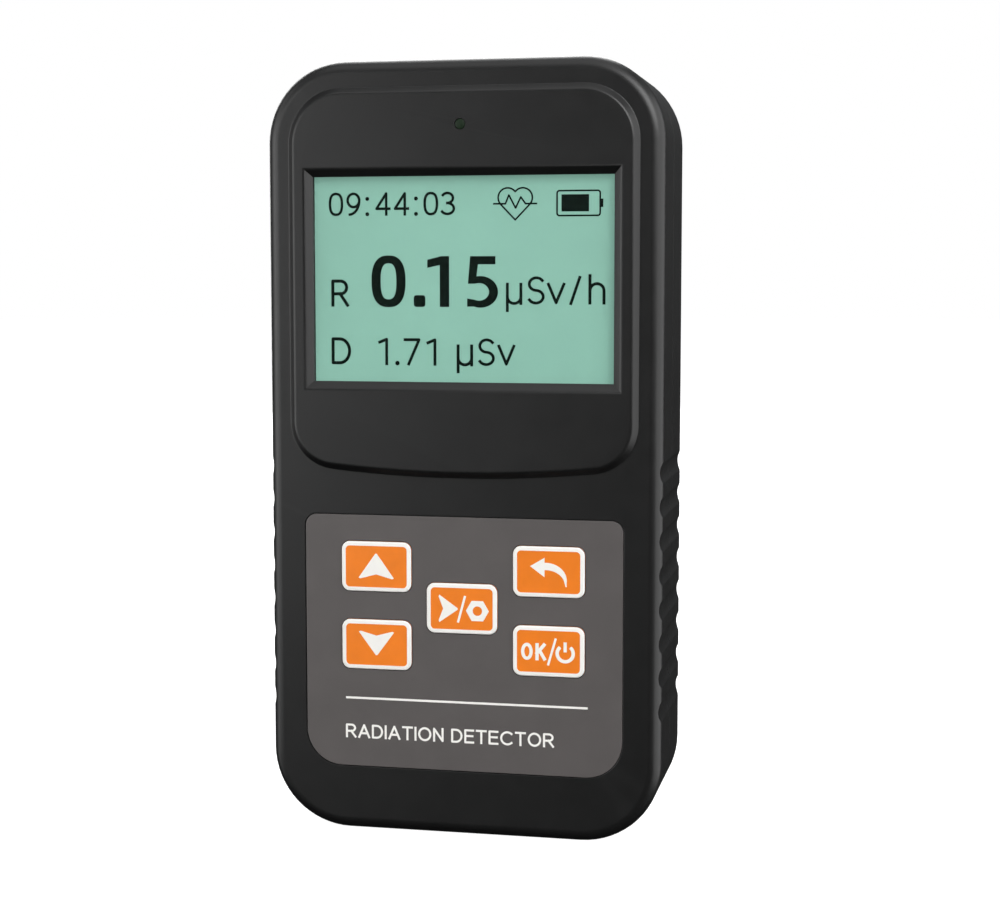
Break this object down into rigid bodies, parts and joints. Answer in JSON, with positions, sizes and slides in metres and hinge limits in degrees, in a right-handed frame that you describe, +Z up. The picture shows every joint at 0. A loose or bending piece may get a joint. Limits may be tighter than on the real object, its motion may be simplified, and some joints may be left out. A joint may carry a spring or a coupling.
{
  "type": "handheld radiation meter",
  "caption": "Upright handheld radiation dose-rate meter: black two-shell case with side grip scallops, raised display bezel, grey-green display and orange sprung keys on a grey film.",
  "frame": {"origin": "centre of the case's outline on the plane of its lower end, which it stands on", "axes": "+Z up along the case from its lower end to its upper end; -Y out of the display face, +Y out of the back; +X to the right of someone reading the display"},
  "size_m": [0.062, 0.025, 0.12],
  "materials": {
    "case_black": "matt moulded black with a fine grain",
    "clear_window": "clear, polished",
    "foam_black": "matt foam",
    "display_green": "reflective grey-green display with dark digits",
    "diffuser_white": "satin diffuser",
    "frame_white": "satin moulded",
    "ribbon_amber": "satin flexible film",
    "connector_ivory": "moulded",
    "film_grey": "fine-textured printed film with white rule and lettering",
    "key_orange": "satin orange with white border and symbol",
    "switch_black": "moulded",
    "switch_can": "pressed can on a black base",
    "board_green": "solder mask over copper",
    "chip_black": "moulded with tinned legs",
    "ferrite_grey": "sintered ferrite",
    "tinned_steel": "tinned",
    "capacitor_blue": "dipped coating",
    "buzzer_black": "moulded",
    "led_white": "clear lens on a white base",
    "light_green": "smoked green light pipe",
    "boot_rubber": "matt rubber",
    "shaft_steel": "ground",
    "weight_grey": "sintered tungsten alloy",
    "tube_glass": "metal-coated glass",
    "shield_tin": "thin foil sleeve",
    "cell_foil": "laminated foil pouch",
    "tape_white": "double-sided tape",
    "lead_red": "insulated wire",
    "lead_black": "insulated wire",
    "usb_steel": "drawn shell",
    "usb_black": "moulded tongue with gold contacts",
    "insert_brass": "knurled",
    "screw_dark": "dark zinc",
    "label_grey": "blank printed film",
    "print_white": "screen-printed white borders, symbols and lettering",
    "display_ink": "darkened segments of the display"
  },
  "bodies": {
    "case": {"front_housing": "case_black", "rear_housing": "case_black", "display_window": "clear_window", "window_foam": "foam_black", "lcd_glass": "display_green", "lcd_backlight": "diffuser_white", "lcd_frame": "frame_white", "lcd_ribbon": "ribbon_amber", "ribbon_connector": "connector_ivory", "keypad_film": "film_grey", "switch_bodies": "switch_can", "main_board": "board_green", "microcontroller": "chip_black", "charger_chip": "chip_black", "power_coil": "ferrite_grey", "crystal": "tinned_steel", "hv_transformer": "ferrite_grey", "hv_capacitors": "capacitor_blue", "buzzer": "buzzer_black", "buzzer_gasket": "foam_black", "status_led": "led_white", "light_pipe": "light_green", "motor_case": "tinned_steel", "motor_boot": "boot_rubber", "counter_tube": "tube_glass", "tube_caps": "tinned_steel", "tube_shield": "shield_tin", "tube_clips": "tinned_steel", "battery_cell": "cell_foil", "battery_tape": "tape_white", "battery_tab_board": "board_green", "battery_lead_red": "lead_red", "battery_lead_black": "lead_black", "battery_plug": "connector_ivory", "battery_socket": "connector_ivory", "usb_shell": "usb_steel", "usb_tongue": "usb_black", "threaded_inserts": "insert_brass", "housing_screws": "screw_dark", "board_screws": "tinned_steel", "back_label": "label_grey"},
    "up_button": {"up_key": "key_orange", "up_switch_stem": "switch_black"},
    "down_button": {"down_key": "key_orange", "down_switch_stem": "switch_black"},
    "select_button": {"select_key": "key_orange", "select_switch_stem": "switch_black"},
    "back_button": {"back_key": "key_orange", "back_switch_stem": "switch_black"},
    "power_button": {"power_key": "key_orange", "power_switch_stem": "switch_black"},
    "motor_rotor": {"motor_shaft": "shaft_steel", "motor_weight": "weight_grey"}
  },
  "joints": [
    {"name": "up_press", "type": "slide", "parent": "case", "child": "up_button", "axis": [0, 1, 0], "range_m": [0, 0.0003], "stiffness_N_per_m": 3000},
    {"name": "down_press", "type": "slide", "parent": "case", "child": "down_button", "axis": [0, 1, 0], "range_m": [0, 0.0003], "stiffness_N_per_m": 3000},
    {"name": "select_press", "type": "slide", "parent": "case", "child": "select_button", "axis": [0, 1, 0], "range_m": [0, 0.0003], "stiffness_N_per_m": 3000},
    {"name": "back_press", "type": "slide", "parent": "case", "child": "back_button", "axis": [0, 1, 0], "range_m": [0, 0.0003], "stiffness_N_per_m": 3000},
    {"name": "power_press", "type": "slide", "parent": "case", "child": "power_button", "axis": [0, 1, 0], "range_m": [0, 0.0003], "stiffness_N_per_m": 3000},
    {"name": "motor_spin", "type": "hinge", "parent": "case", "child": "motor_rotor", "pos_m": [0.0203, 0.00005, 0.015], "axis": [1, 0, 0], "continuous": true}
  ]
}
